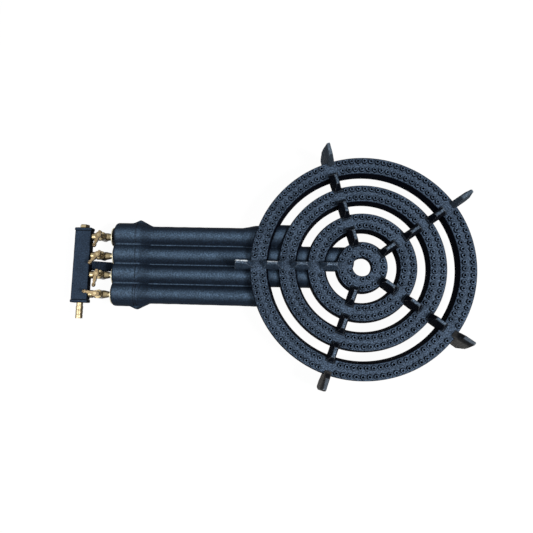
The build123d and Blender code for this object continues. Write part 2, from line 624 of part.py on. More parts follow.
def main():
    """Make every piece and write it as its own node."""
    os.makedirs("parts", exist_ok=True)
    ring_names = ["outer_ring", "second_ring", "third_ring", "centre_ring"]
    rings = [ring_body(k) for k in range(RING_COUNT)]
    for k, name in enumerate(ring_names):
        save(f"{name}_trough", ring_trough(k))
        save(f"{name}_cover", ring_cover(k))

    outside = tubes_outside()
    save("mixer_tubes", mixer_tubes(outside, rings))

    for gap, name in enumerate(["outer_pan_rests", "middle_pan_rests", "inner_pan_rests"]):
        rest = pan_rest(gap, rings)
        group = [spun(rest, a) for a in SPOKE_ANGLES if a != FRONT_SPOKE]
        save(name, *group, (spun(rest, FRONT_SPOKE) - outside).solids().sort_by(UP)[-1])

    leg = leg_blade(rings)
    leg_names = ["leg_rear_left", "leg_left", "leg_front", "leg_right", "leg_rear_right"]
    for name, angle in zip(leg_names, LEG_ANGLES):
        if angle == FRONT_SPOKE:
            pieces = (spun(leg, angle) - outside).solids().sort_by(UP)
            save("front_pan_rest", pieces[-1])
            save(name, pieces[0])
        else:
            save(name, spun(leg, angle))

    save("manifold_bar", manifold_bar())
    save("manifold_cap_left", manifold_cap(1))
    save("manifold_cap_right", manifold_cap(-1))
    save("manifold_plug", manifold_plug())
    save("hose_barb", hose_barb())
    save("manifold_strap", manifold_strap())
    save("strap_bolts", strap_bolt(MANIFOLD_X, MANIFOLD_BASE_Z, MANIFOLD_BOLT_GRIP),
         strap_bolt(STRAP_LUG_X, STRAP_LOW_Z, STRAP_BOLT_GRIP))

    for i, y in enumerate(TAP_YS):
        tap = i + 1
        save(f"tap_{tap}_body", tap_body(y))
        save(f"tap_{tap}_plug", tap_plug(y, LEVER_ANGLES[i]))
        save(f"tap_{tap}_lever", tap_lever(y, LEVER_ANGLES[i]))
        save(f"tap_{tap}_spring_washer", spring_washer(y))
        save(f"tap_{tap}_nut", plug_nut(y))
        save(f"gas_jet_{tap}", gas_jet(y))
        save(f"air_shutter_{tap}", air_shutter(y, SHUTTER_STANDOFFS[i]))


main()
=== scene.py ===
"""Looks of a cast-iron ring burner: cast rings, pan rests, tubes, brass taps, studio and camera."""
import json
import logging
import math
from dataclasses import dataclass
from enum import Enum
from functools import partial
from typing import Callable, Mapping, Sequence

import bmesh
import bpy
from bmesh.types import BMesh, BMVert
from bpy.types import ID, Material, Mesh, Node, NodeSocket, NodeTree, Object
from mathutils import Matrix, Vector, noise


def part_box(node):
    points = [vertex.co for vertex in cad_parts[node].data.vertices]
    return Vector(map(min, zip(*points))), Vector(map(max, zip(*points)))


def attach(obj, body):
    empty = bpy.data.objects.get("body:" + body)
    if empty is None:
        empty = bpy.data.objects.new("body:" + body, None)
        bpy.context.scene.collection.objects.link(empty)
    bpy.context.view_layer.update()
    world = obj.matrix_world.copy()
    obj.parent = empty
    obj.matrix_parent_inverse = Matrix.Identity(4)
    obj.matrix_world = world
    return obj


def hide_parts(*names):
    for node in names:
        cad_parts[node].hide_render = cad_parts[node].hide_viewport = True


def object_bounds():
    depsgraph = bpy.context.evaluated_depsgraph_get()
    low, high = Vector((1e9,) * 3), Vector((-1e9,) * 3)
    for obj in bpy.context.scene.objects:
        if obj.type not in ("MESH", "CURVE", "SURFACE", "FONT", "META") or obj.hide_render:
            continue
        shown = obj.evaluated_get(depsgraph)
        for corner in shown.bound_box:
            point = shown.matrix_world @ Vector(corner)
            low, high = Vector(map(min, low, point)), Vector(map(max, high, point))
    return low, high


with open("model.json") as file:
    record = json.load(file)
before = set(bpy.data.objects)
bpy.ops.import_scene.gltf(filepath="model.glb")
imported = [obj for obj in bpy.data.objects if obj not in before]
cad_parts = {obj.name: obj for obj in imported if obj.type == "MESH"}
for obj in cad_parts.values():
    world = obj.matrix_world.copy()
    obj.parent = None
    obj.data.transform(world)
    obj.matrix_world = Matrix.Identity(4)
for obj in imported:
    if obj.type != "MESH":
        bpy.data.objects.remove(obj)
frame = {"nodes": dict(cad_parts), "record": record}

LOG = logging.getLogger("ring_burner")
CAD_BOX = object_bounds()
MM = 0.001
AXIS_X = 140.85 * MM  # the rings' common axis
AXIS_Z = 41.5 * MM  # height of the middle of the tubes
BURNER = "burner"
AXIS = Matrix.Translation((AXIS_X, 0.0, 0.0))
AO_SAMPLES = 8
CORNER_STEPS = 4
EDGE_BENDS = (0.16, 0.4)

Tone = tuple[float, float, float]
Spot = tuple[float, float, float]
Point = tuple[float, float]
Sockets = Mapping[str, NodeSocket]
WHITE: Tone = (1.0, 1.0, 1.0)


class Slot(Enum):
    """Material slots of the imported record."""

    CAST = "cast_iron"
    STEEL = "painted_steel"
    BRASS = "brass"
    PLATED = "plated_steel"


class NodeSheet:
    """Writes nodes and links into one node tree."""

    def __init__(self, tree: NodeTree) -> None:
        """Keep the tree that the nodes go into."""
        self.tree = tree

    def add(self, kind: str, inputs: dict | None = None, **settings: object) -> Node:
        """Add one node.

        Args:
            kind: Blender's name of the node type.
            inputs: socket name or index to what sets it, as in feed.
            settings: properties of the node itself.

        Returns:
            The new node.
        """
        node = self.tree.nodes.new(kind)
        for key, item in settings.items():
            setattr(node, key, item)
        self.feed(node, inputs or {})
        return node

    def feed(self, node: Node, inputs: dict) -> None:
        """Set or link a node's inputs.

        Args:
            node: node to set.
            inputs: socket name or index to a number, a tone, a socket or a node with one main output.
        """
        for key, item in inputs.items():
            socket = node.inputs[key]
            source = item.outputs[0] if isinstance(item, Node) else item
            if isinstance(source, NodeSocket):
                self.tree.links.new(source, socket)
            else:
                socket.default_value = (*source, 1.0) if socket.type == "RGBA" else source

    def use(self, group: NodeTree, inputs: dict) -> Sockets:
        """Add a shader group and return its outputs."""
        return self.add("ShaderNodeGroup", inputs, node_tree=group).outputs

    def math(self, operation: str, first: object, second: object = 0.0) -> NodeSocket:
        """Return the result of one Math node on two numbers or sockets."""
        return self.add("ShaderNodeMath", {0: first, 1: second}, operation=operation).outputs[0]

    def product(self, *factors: object) -> NodeSocket:
        """Multiply numbers or sockets.

        Args:
            factors: two or more numbers or sockets.

        Returns:
            The socket of the product.
        """
        result = factors[0]
        for factor in factors[1:]:
            result = self.math("MULTIPLY", result, factor)
        return result

    def mix(self, share: object, first: object, second: object, blend: str = "MIX") -> NodeSocket:
        """Return a mix of two colours, all of the first at share 0 and of the second at 1."""
        inputs = {0: share, 6: first, 7: second}
        return self.add("ShaderNodeMix", inputs, data_type="RGBA", blend_type=blend).outputs[2]

    def span(self, item: object, low: float, high: float, to_low: float = 0.0,
             to_high: float = 1.0) -> NodeSocket:
        """Map a range of values to another, clamped at both ends."""
        inputs = {"Value": item, "From Min": low, "From Max": high, "To Min": to_low, "To Max": to_high}
        return self.add("ShaderNodeMapRange", inputs).outputs["Result"]


def new_group(name: str, kind: str, inputs: Sequence[tuple], outputs: Sequence[tuple]) -> tuple:
    """Start a node group.

    Args:
        name: name of the group.
        kind: tree type, shader or geometry.
        inputs: name and kind of socket of each input, and its value where nothing else sets it.
        outputs: name and kind of socket of each output.

    Returns:
        The group, its sheet, the sockets that its inputs give and its Group Output node.
    """
    tree = bpy.data.node_groups.new(name, kind)
    for title, socket, *start in inputs:
        made = tree.interface.new_socket(title, in_out="INPUT", socket_type=f"NodeSocket{socket}")
        if start:
            made.default_value = start[0]
    for title, socket in outputs:
        tree.interface.new_socket(title, in_out="OUTPUT", socket_type=f"NodeSocket{socket}")
    sheet = NodeSheet(tree)
    return tree, sheet, sheet.add("NodeGroupInput").outputs, sheet.add("NodeGroupOutput")


def cast_skin_group() -> NodeTree:
    """Make the shared sandy skin: grain, blotches and a height for bump.

    Returns:
        The shader group.
    """
    tree, sheet, given, sink = new_group(
        "Cast Skin", "ShaderNodeTree",
        [("Coordinates", "Vector"), ("Grain", "Float"), ("Blotch", "Float", 45.0)],
        [("Grain", "Float"), ("Blotch", "Float"), ("Height", "Float")])
    pits_per_grain, pit_reach, pit_share, sand_share = 0.45, 0.35, 0.35, 0.8
    where, grain = given["Coordinates"], given["Grain"]
    sand = sheet.add("ShaderNodeTexNoise", {
        "Vector": where, "Scale": grain, "Detail": 3.0, "Roughness": 0.7})
    patch = sheet.add("ShaderNodeTexNoise", {
        "Vector": where, "Scale": given["Blotch"], "Detail": 3.0, "Roughness": 0.55})
    pits = sheet.add("ShaderNodeTexVoronoi", {
        "Vector": where, "Scale": sheet.product(grain, pits_per_grain)})
    dent = sheet.span(pits.outputs["Distance"], 0.0, pit_reach)
    sheet.feed(sink, {
        "Grain": sheet.span(sand, 0.36, 0.66), "Blotch": sheet.span(patch, 0.35, 0.65),
        "Height": sheet.math("ADD", sheet.product(sand, sand_share), sheet.product(dent, pit_share))})
    return tree


def facing_group() -> NodeTree:
    """Make the shared mask that is 1 on level faces and falls off as they lean.

    Returns:
        The shader group.
    """
    tree, sheet, given, sink = new_group(
        "Facing Up", "ShaderNodeTree", [("Normal", "Vector"), ("Sharpness", "Float")], [("Up", "Float")])
    parts = sheet.add("ShaderNodeSeparateXYZ", {0: given["Normal"]})
    level = sheet.math("MAXIMUM", parts.outputs["Z"], 0.0)
    sheet.feed(sink, {"Up": sheet.math("POWER", level, given["Sharpness"])})
    return tree


def turning_group() -> NodeTree:
    """Make the shared fine streaks that a lathe tool or a brush leaves on metal.

    Returns:
        The shader group.
    """
    tree, sheet, given, sink = new_group(
        "Tool Marks", "ShaderNodeTree",
        [("Coordinates", "Vector"), ("Stretch", "Vector"), ("Scale", "Float", 900.0)],
        [("Marks", "Float"), ("Tarnish", "Float")])
    stains_per_mark = 0.22
    where, scale = given["Coordinates"], given["Scale"]
    drawn = sheet.add("ShaderNodeVectorMath", {0: where, 1: given["Stretch"]}, operation="MULTIPLY")
    marks = sheet.add("ShaderNodeTexNoise", {"Vector": drawn, "Scale": scale, "Detail": 2.0})
    stain = sheet.add("ShaderNodeTexNoise", {
        "Vector": where, "Scale": sheet.product(scale, stains_per_mark), "Detail": 4.0, "Roughness": 0.65})
    sheet.feed(sink, {"Marks": sheet.span(marks, 0.3, 0.7), "Tarnish": sheet.span(stain, 0.42, 0.68)})
    return tree


@dataclass(frozen=True)
class SharedGroups:
    """The shader groups that more than one finish uses."""

    skin: NodeTree
    facing: NodeTree
    turning: NodeTree


@dataclass(frozen=True)
class Finish:
    """What every finish shares: a name, and a material made round one Principled shader."""

    name: str

    def build(self, groups: SharedGroups) -> Material:
        """Make the material.

        Args:
            groups: the shared shader groups.

        Returns:
            The finished material.
        """
        material = bpy.data.materials.new(self.name)
        material.use_nodes = True
        sheet = NodeSheet(material.node_tree)
        where = sheet.add("ShaderNodeTexCoord").outputs["Object"]
        normal = sheet.add("ShaderNodeNewGeometry").outputs["Normal"]
        sheet.feed(material.node_tree.nodes["Principled BSDF"], self.looks(sheet, groups, where, normal))
        return material

    def looks(self, sheet: NodeSheet, groups: SharedGroups, where: NodeSocket, normal: NodeSocket) -> dict:
        """Work out the inputs of the Principled shader, as each kind of finish does in its own way.

        Args:
            sheet: sheet of the material.
            groups: the shared shader groups.
            where: object coordinates.
            normal: direction of the surface.

        Returns:
            Input name to a value or a socket.
        """
        raise NotImplementedError

    @staticmethod
    def hollow_shade(sheet: NodeSheet, reach: float, shelter: Point, share: float) -> NodeSocket:
        """Return a mask of painted shade in hollow corners, from ambient occlusion."""
        open_share = sheet.add("ShaderNodeAmbientOcclusion", {"Distance": reach}, samples=AO_SAMPLES)
        return sheet.span(open_share.outputs["AO"], *shelter, share, 0.0)


@dataclass(frozen=True)
class CastPaint(Finish):
    """Thin dark paint over a sandy casting, rubbed along the raised edges.

    Level tops are painted lit and steep walls are in painted shade, by how far each face leans. Raised
    edges are rubbed and also carry a painted glint, and where set, hollow corners take painted shade. With
    a darkening height above zero the walls are darker from that height up. With strip above zero, the
    pieces over the tubes within that distance of the middle have walls painted paler as if lit, and rubbed
    tops that also carry a painted glint.
    """

    top: Tone = (0.036, 0.052, 0.075)
    shaded_wall: Tone = (0.004, 0.005, 0.008)
    rub_and_glint: Tone = (0.30, 0.33, 0.36)
    rub_and_glint_share: float = 0.6
    grain: float = 480.0
    relief: float = 0.7 * MM
    bump: float = 0.6
    blotch: float = 0.22
    roughness: Point = (0.42, 0.62)
    wall_matt: float = 0.4
    specular: float = 0.06
    sharpness: float = 5.0
    speck: Point = (0.45, 2.9)
    crisp: float = 1.6
    corner: float = 1.5 * MM
    shelter: Point = (0.45, 0.95)
    corner_shade: float = 0.0
    dark_from: float = 0.0
    dark_drift: float = 4.0 * MM
    dark_fade: float = 5.0 * MM
    dark_tone: Tone = (0.002, 0.0025, 0.004)
    strip: float = 0.0
    lit_strip_wall: Tone = (0.028, 0.043, 0.066)
    polish_glint: Tone = (0.75, 0.8, 0.85)
    polish_glint_height: Point = (100.5 * MM, 101.5 * MM)
    polish_glint_edge: Point = (0.2 * MM, 1.4 * MM)
    polish_glint_reach: Point = (150.0 * MM, 118.0 * MM)
    polish_glint_shares: Point = (0.9, 0.3)
    polish_glint_stop: float = 110.0 * MM

    def over_tubes(self, sheet: NodeSheet, spot: Sockets) -> NodeSocket:
        """Return a mask of the strip over the tubes."""
        return sheet.product(sheet.math("LESS_THAN", spot["X"], AXIS_X),
                             sheet.math("LESS_THAN", sheet.math("ABSOLUTE", spot["Y"]), self.strip))

    def shaded_wall_tone(self, sheet: NodeSheet, spot: Sockets, skin: Sockets) -> object:
        """Work out the painted shade of steep faces, darker from a set height up and painted paler over the
        tubes as if lit.

        Args:
            sheet: sheet of the material.
            spot: X, Y and Z of the object coordinates.
            skin: outputs of the cast skin.

        Returns:
            The wall tone or its socket.
        """
        tone: object = self.shaded_wall
        # Walls darker from a set height up.
        if self.dark_from > 0.0:
            drift = sheet.span(skin["Blotch"], 0.0, 1.0, -self.dark_drift, self.dark_drift)
            high = sheet.span(sheet.math("ADD", spot["Z"], drift), self.dark_from - self.dark_fade,
                              self.dark_from + self.dark_fade)
            tone = sheet.mix(high, tone, self.dark_tone)
        # Walls over the tubes painted paler, as if lit.
        if self.strip > 0.0:
            tone = sheet.mix(self.over_tubes(sheet, spot), tone, self.lit_strip_wall)
        return tone

    def polish_glint_mask(self, sheet: NodeSheet, spot: Sockets, skin: Sockets) -> NodeSocket:
        """Mask the rubbed edge along the tops over the tubes, which also carries a painted glint, stronger
        farther out.

        Args:
            sheet: sheet of the material.
            spot: X, Y and Z of the object coordinates.
            skin: outputs of the cast skin.

        Returns:
            The socket of the mask.
        """
        far, near = self.polish_glint_reach
        return sheet.product(
            self.over_tubes(sheet, spot), sheet.span(spot["Z"], *self.polish_glint_height),
            sheet.span(spot["Y"], *self.polish_glint_edge),
            sheet.span(spot["X"], AXIS_X - far, AXIS_X - near, *self.polish_glint_shares),
            sheet.math("LESS_THAN", spot["X"], AXIS_X - self.polish_glint_stop),
            sheet.span(skin["Grain"], 0.1, 0.6, 0.4, 1.0))

    def looks(self, sheet: NodeSheet, groups: SharedGroups, where: NodeSocket, normal: NodeSocket) -> dict:
        """Work out the inputs of the Principled shader.

        Args:
            sheet: sheet of the material.
            groups: the shared shader groups.
            where: object coordinates.
            normal: direction of the surface.

        Returns:
            Input name to a value or a socket.
        """
        spot = sheet.add("ShaderNodeSeparateXYZ", {0: where}).outputs
        skin = sheet.use(groups.skin, {"Coordinates": where, "Grain": self.grain})
        up = sheet.use(groups.facing, {"Normal": normal, "Sharpness": self.sharpness})["Up"]
        # Painted light: level faces take the top tone and steep faces the darker wall tone, as lit tops and
        # walls in shade.
        tone = sheet.mix(up, self.shaded_wall_tone(sheet, spot, skin), self.top)
        tone = sheet.mix(sheet.span(skin["Blotch"], 0.0, 1.0, self.blotch, 0.0), tone, self.shaded_wall)
        speck = sheet.span(sheet.math("POWER", skin["Grain"], self.crisp), 0.0, 1.0, *self.speck)
        shades = sheet.add("ShaderNodeCombineXYZ", {0: speck, 1: speck, 2: speck})
        tone = sheet.mix(1.0, tone, shades, "MULTIPLY")
        # Painted shade in hollow corners, from ambient occlusion.
        if self.corner_shade > 0.0:
            corner_shaded = self.hollow_shade(sheet, self.corner, self.shelter, self.corner_shade)
            tone = sheet.mix(corner_shaded, tone, self.shaded_wall)
        # Raised edges lighter: partly rubbed paint, partly a painted glint.
        edge = sheet.add("ShaderNodeAttribute", attribute_name="edge").outputs["Fac"]
        worn_and_glint = sheet.product(edge, sheet.span(skin["Grain"], 0.1, 0.9, 0.3, 1.0), self.rub_and_glint_share)
        tone = sheet.mix(worn_and_glint, tone, self.rub_and_glint)
        # Painted glint along the top edges of the rests over the tubes, on paint rubbed bare there.
        if self.strip > 0.0:
            tone = sheet.mix(self.polish_glint_mask(sheet, spot, skin), tone, self.polish_glint)
        bump = sheet.add("ShaderNodeBump", {
            "Strength": self.bump, "Distance": self.relief, "Height": skin["Height"]})
        rough = sheet.math("ADD", sheet.span(skin["Grain"], 0.0, 1.0, *self.roughness),
                           sheet.span(up, 0.0, 1.0, self.wall_matt, 0.0))
        return {"Base Color": tone, "Roughness": rough, "Normal": bump, "Specular IOR Level": self.specular}


@dataclass(frozen=True)
class TurnedMetal(Finish):
    """Bare machined metal with tool marks and dull patches, and painted shade on its sides and in its
    corners.
    """

    bright: Tone
    dull: Tone
    stretch: Spot = (0.15, 1.0, 1.0)
    scale: float = 1500.0
    roughness: Point = (0.2, 0.42)
    tarnish: float = 0.75
    stain_matt: float = 0.3
    corner: float = 2.5 * MM
    shelter: Point = (0.35, 0.85)
    corner_shade: float = 0.85
    shade_tone: Tone = (0.03, 0.02, 0.012)
    side: float = 0.0
    sharpness: float = 4.0
    tooling: float = 0.12
    mark_depth: float = 0.2 * MM

    def looks(self, sheet: NodeSheet, groups: SharedGroups, where: NodeSocket, normal: NodeSocket) -> dict:
        """Work out the inputs of the Principled shader.

        Args:
            sheet: sheet of the material.
            groups: the shared shader groups.
            where: object coordinates.
            normal: direction of the surface.

        Returns:
            Input name to a value or a socket.
        """
        turning = sheet.use(groups.turning, {
            "Coordinates": where, "Stretch": self.stretch, "Scale": self.scale})
        up = sheet.use(groups.facing, {"Normal": normal, "Sharpness": self.sharpness})["Up"]
        stain = sheet.product(turning["Tarnish"], self.tarnish)
        tone = sheet.mix(stain, self.bright, self.dull)
        # Painted shade: faces that lean away from level are darkened towards the shade tone.
        tone = sheet.mix(sheet.span(up, 0.0, 0.9, self.side, 0.0), tone, self.shade_tone)
        # Painted shade in hollow corners, from ambient occlusion.
        corner_shaded = self.hollow_shade(sheet, self.corner, self.shelter, self.corner_shade)
        tone = sheet.mix(corner_shaded, tone, self.shade_tone)
        bump = sheet.add("ShaderNodeBump", {
            "Strength": self.tooling, "Distance": self.mark_depth, "Height": turning["Marks"]})
        rough = sheet.math("ADD", sheet.span(turning["Marks"], 0.0, 1.0, *self.roughness),
                           sheet.product(stain, self.stain_matt))
        return {"Base Color": tone, "Roughness": rough, "Normal": bump, "Metallic": 1.0}


@dataclass(frozen=True)
class ShutterPlate(Finish):
    """Disc whose flat faces are painted near-black as shade, and whose turned rim is bare and pale."""

    rim: Tone = (0.62, 0.58, 0.44)
    dark_tone: Tone = (0.006, 0.006, 0.007)
    stretch: Spot = (1.0, 0.3, 0.3)
    roughness: Point = (0.35, 0.6)
    specular: float = 0.1
    face: Point = (0.75, 0.95)
    patchy: float = 0.86

    def looks(self, sheet: NodeSheet, groups: SharedGroups, where: NodeSocket, normal: NodeSocket) -> dict:
        """Work out the inputs of the Principled shader.

        Args:
            sheet: sheet of the material.
            groups: the shared shader groups.
            where: object coordinates.
            normal: direction of the surface.

        Returns:
            Input name to a value or a socket.
        """
        turning = sheet.use(groups.turning, {"Coordinates": where, "Stretch": self.stretch})
        along = sheet.add("ShaderNodeSeparateXYZ", {0: normal}).outputs["X"]
        flat = sheet.span(sheet.math("ABSOLUTE", along), *self.face)
        # Painted shade: the flat faces are made near-black and not metallic.
        shaded_face = sheet.product(flat, sheet.span(turning["Tarnish"], 0.0, 1.0, 1.0, self.patchy))
        return {"Base Color": sheet.mix(shaded_face, self.rim, self.dark_tone),
                "Metallic": sheet.span(shaded_face, 0.0, 1.0, 1.0, 0.0),
                "Roughness": sheet.span(turning["Marks"], 0.0, 1.0, *self.roughness),
                "Specular IOR Level": self.specular}


@dataclass(frozen=True)
class Finishes:
    """All finishes of the burner."""

    iron: Material
    rest: Material
    leg: Material
    bare_and_lit_leg: Material
    tube: Material
    seam: Material
    bar: Material
    brass: Material
    lever: Material
    jet: Material
    plate: Material
    shutter: Material

    @staticmethod
    def make() -> "Finishes":
        """Build the shared groups and every finish, in the order of the fields.

        Returns:
            The finishes.
        """
        groups = SharedGroups(cast_skin_group(), facing_group(), turning_group())
        recipes = (
            CastPaint("cast_iron_paint", top=(0.043, 0.0625, 0.093), shaded_wall=(0.0012, 0.0016, 0.0038),
                      specular=0.015, corner_shade=0.6),
            CastPaint("rest_paint", top=(0.062, 0.085, 0.116), shaded_wall=(0.0016, 0.0021, 0.0042),
                      rub_and_glint=(0.75, 0.8, 0.85), rub_and_glint_share=0.9, specular=0.02, sharpness=3.0, strip=14.0 * MM),
            CastPaint("leg_paint", top=(0.085, 0.115, 0.15), shaded_wall=(0.024, 0.033, 0.045),
                      rub_and_glint=(0.7, 0.74, 0.78), rub_and_glint_share=0.85, specular=0.08, sharpness=2.0,
                      speck=(0.65, 1.7)),
            # Pale walls: partly bare iron, partly painted light on faces turned from the lamps.
            CastPaint("bare_and_lit_leg_paint", top=(0.08, 0.1, 0.125), shaded_wall=(0.08, 0.077, 0.073),
                      rub_and_glint=(0.6, 0.62, 0.64), rub_and_glint_share=0.8, sharpness=2.0, speck=(0.8, 1.4),
                      dark_from=85.0 * MM),
            # The sharp facing mask paints a highlight along the tube crests.
            CastPaint("tube_paint", top=(0.047, 0.078, 0.121), shaded_wall=(0.0046, 0.0092, 0.0178),
                      sharpness=14.0, speck=(0.65, 2.0), specular=0.11, roughness=(0.36, 0.52)),
            # The seam lines are painted dark, as their own shade.
            CastPaint("seam_shade_paint", top=(0.02, 0.028, 0.04)),
            CastPaint("manifold_paint", top=(0.0225, 0.0375, 0.063), shaded_wall=(0.002, 0.003, 0.0058),
                      speck=(0.7, 1.7), roughness=(0.5, 0.7)),
            TurnedMetal("turned_brass", (0.4, 0.325, 0.19), (0.09, 0.065, 0.03),
                        roughness=(0.16, 0.3), tarnish=0.5, corner=1.8 * MM, corner_shade=0.75, side=0.96),
            TurnedMetal("lever_brass", (0.2, 0.15, 0.085), (0.06, 0.043, 0.02),
                        roughness=(0.24, 0.42), tarnish=0.4, side=0.93),
            TurnedMetal("jet_brass", (0.52, 0.43, 0.265), (0.3, 0.235, 0.125), roughness=(0.38, 0.46),
                        tarnish=0.3, corner=0.9 * MM, corner_shade=0.7, side=0.93, tooling=0.03),
            TurnedMetal("zinc_plate", (0.62, 0.60, 0.54), (0.34, 0.31, 0.25),
                        stretch=(1.0, 1.0, 0.12), scale=1100.0, roughness=(0.3, 0.5)),
            ShutterPlate("shutter_plate"))
        return Finishes(*(recipe.build(groups) for recipe in recipes))

    def of(self, slot: Slot) -> Material:
        """Return the finish of a slot."""
        return {Slot.CAST: self.iron, Slot.STEEL: self.bar, Slot.BRASS: self.brass,
                Slot.PLATED: self.plate}[slot]


def plain_mesh(holder: Object) -> Mesh:
    """Turn an evaluated object into a plain mesh and remove the object.

    Args:
        holder: object whose modifiers make the mesh.

    Returns:
        A plain mesh with the modifiers' result.
    """
    graph = bpy.context.evaluated_depsgraph_get()
    mesh = bpy.data.meshes.new_from_object(holder.evaluated_get(graph))
    bpy.data.objects.remove(holder, do_unlink=True)
    return mesh


def hold(name: str, data: ID) -> Object:
    """Put a mesh, lamp or camera into the scene as an object at the origin.

    Args:
        name: name of the object.
        data: its mesh, lamp or camera.

    Returns:
        The object.
    """
    piece = bpy.data.objects.new(name, data)
    bpy.context.scene.collection.objects.link(piece)
    return piece


def settle(shape: BMesh, name: str) -> Mesh:
    """Turn a bmesh into a plain mesh.

    Args:
        shape: bmesh, freed afterwards.
        name: name of the mesh.

    Returns:
        The mesh.
    """
    mesh = bpy.data.meshes.new(name)
    shape.to_mesh(mesh)
    shape.free()
    return mesh


def place(name: str, mesh: Mesh, finish: Material, nodes: Sequence[str],
          body: str = BURNER) -> None:
    """Finish one piece, tie it to its body and hide the nodes it stands for.

    Args:
        name: name of the piece.
        mesh: its final mesh.
        finish: material of the whole piece.
        nodes: nodes that it replaces.
        body: body that it rides on.
    """
    mesh.materials.clear()
    mesh.materials.append(finish)
    piece = hold(name, mesh)
    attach(piece, body)
    if nodes:
        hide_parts(*nodes)
    LOG.info("%s: %d faces", name, len(mesh.polygons))


def shade(mesh: Mesh, angle: float) -> None:
    """Shade a mesh smooth, with edges sharper than an angle in degrees kept sharp."""
    mesh.shade_smooth()
    mesh.set_sharp_from_angle(angle=math.radians(angle))


def round_corners(outline: Sequence[Spot]) -> list[Point]:
    """Round the corners of a closed outline.

    Args:
        outline: x, y and corner radius of each corner.

    Returns:
        The points of the rounded outline, in order.
    """
    points: list[Point] = []
    count = len(outline)
    for i, (x, y, radius) in enumerate(outline):
        here = Vector((x, y))
        if radius <= 0.0:
            points.append((x, y))
            continue
        back = (Vector(outline[i - 1][:2]) - here).normalized()
        ahead = (Vector(outline[(i + 1) % count][:2]) - here).normalized()
        half = back.angle(ahead) / 2
        reach = radius / math.tan(half)
        middle = here + (back + ahead).normalized() * (radius / math.sin(half))
        start = here + back * reach - middle
        stop = here + ahead * reach - middle
        turn = start.angle_signed(stop)
        for k in range(CORNER_STEPS + 1):
            arm = start.copy()
            arm.rotate(Matrix.Rotation(-turn * k / CORNER_STEPS, 2))
            points.append(tuple(middle + arm))
    return points


def lathe(outline: Sequence[Point], segments: int, place_at: Matrix | None = None) -> Mesh:
    """Turn an outline about the Z axis into a closed mesh.

    Args:
        outline: closed loop of radius and height; points on the axis make poles.
        segments: steps round the axis.
        place_at: where the turned shape goes.

    Returns:
        The mesh, with its faces outwards.
    """
    shape = bmesh.new()
    turns = [2 * math.pi * k / segments for k in range(segments)]
    rings: list[list[BMVert]] = []
    for radius, height in outline:
        if radius == 0.0:
            rings.append([shape.verts.new((0.0, 0.0, height))] * segments)
            continue
        rings.append([shape.verts.new((radius * math.cos(t), radius * math.sin(t), height)) for t in turns])
    for near, far in zip(rings, rings[1:] + rings[:1]):
        for k in range(segments):
            corners = [near[k], near[(k + 1) % segments], far[(k + 1) % segments], far[k]]
            loop = list(dict.fromkeys(corners))
            if len(loop) > 2:
                shape.faces.new(loop)
    bmesh.ops.recalc_face_normals(shape, faces=shape.faces)
    if place_at is not None:
        shape.transform(place_at)
    return settle(shape, "turned")


def mark_edges(mesh: Mesh) -> None:
    """Store how far each vertex stands out from its neighbours as the attribute edge.

    Args:
        mesh: evenly meshed piece.
    """
    low, high = EDGE_BENDS
    bends = [0.0] * len(mesh.vertices)
    counts = [0] * len(mesh.vertices)
    for edge in mesh.edges:
        first, second = (mesh.vertices[k] for k in edge.vertices)
        arm = (second.co - first.co).normalized()
        bends[first.index] -= arm.dot(first.normal)
        bends[second.index] += arm.dot(second.normal)
        counts[first.index] += 1
        counts[second.index] += 1
    shares = [min(1.0, max(0.0, (b / max(1, n) - low) / (high - low))) for b, n in zip(bends, counts)]
    mesh.attributes.new("edge", "FLOAT", "POINT").data.foreach_set("value", shares)


def roughen(mesh: Mesh, height: float, scale: float, swell: float) -> None:
    """Move each vertex along its normal by smooth noise, held inside the CAD box.

    Args:
        mesh: finely meshed piece.
        height: largest move in metres.
        scale: noise cells per metre.
        swell: even move outwards in metres.
    """
    moves = [(v.co + v.normal * (swell + height * noise.noise(v.co * scale))) for v in mesh.vertices]
    low, high = CAD_BOX
    for vertex, spot in zip(mesh.vertices, moves):
        vertex.co = [min(max(s, a), b) for s, a, b in zip(spot, low, high)]


def frustum(shape: BMesh, low: Sequence[Vector], high: Sequence[Vector]) -> None:
    """Add a closed block between two loops of four corners.

    Args:
        shape: bmesh that gets the block.
        low: corners of the lower loop.
        high: corners of the upper loop, in the same order.
    """
    bottom = [shape.verts.new(c) for c in low]
    top = [shape.verts.new(c) for c in high]
    made = [shape.faces.new(bottom), shape.faces.new(top)]
    for k in range(4):
        made.append(shape.faces.new((bottom[k], bottom[(k + 1) % 4], top[(k + 1) % 4], top[k])))
    bmesh.ops.recalc_face_normals(shape, faces=made)


@dataclass(frozen=True)
class Softener:
    """Turns sharp solids into a casting with rounded edges and hollow corners."""

    voxel: float
    passes: int
    sand: float
    sand_scale: float
    swell: float = 0.0
    weld: float = 0.001 * MM
    strength: float = 0.5

    def cast(self, node: str, extra: Callable[[BMesh], None] | None = None) -> Mesh:
        """Make one casting from a copy of a node.

        Args:
            node: name of the node.
            extra: adds closed shapes, such as fillets, to the copy before it is softened.

        Returns:
            The softened mesh with its edge attribute.
        """
        shape = bmesh.new()
        shape.from_mesh(frame["nodes"][node].data)
        bmesh.ops.remove_doubles(shape, verts=shape.verts, dist=self.weld)
        if extra is not None:
            extra(shape)
        holder = hold(node, settle(shape, node))
        remesh = holder.modifiers.new("Sand", "REMESH")
        remesh.mode = "VOXEL"
        remesh.voxel_size = self.voxel
        smooth = holder.modifiers.new("Soften", "SMOOTH")
        smooth.factor = self.strength
        smooth.iterations = self.passes
        mesh = plain_mesh(holder)
        mark_edges(mesh)
        roughen(mesh, self.sand, self.sand_scale, self.swell)
        mesh.shade_smooth()
        return mesh


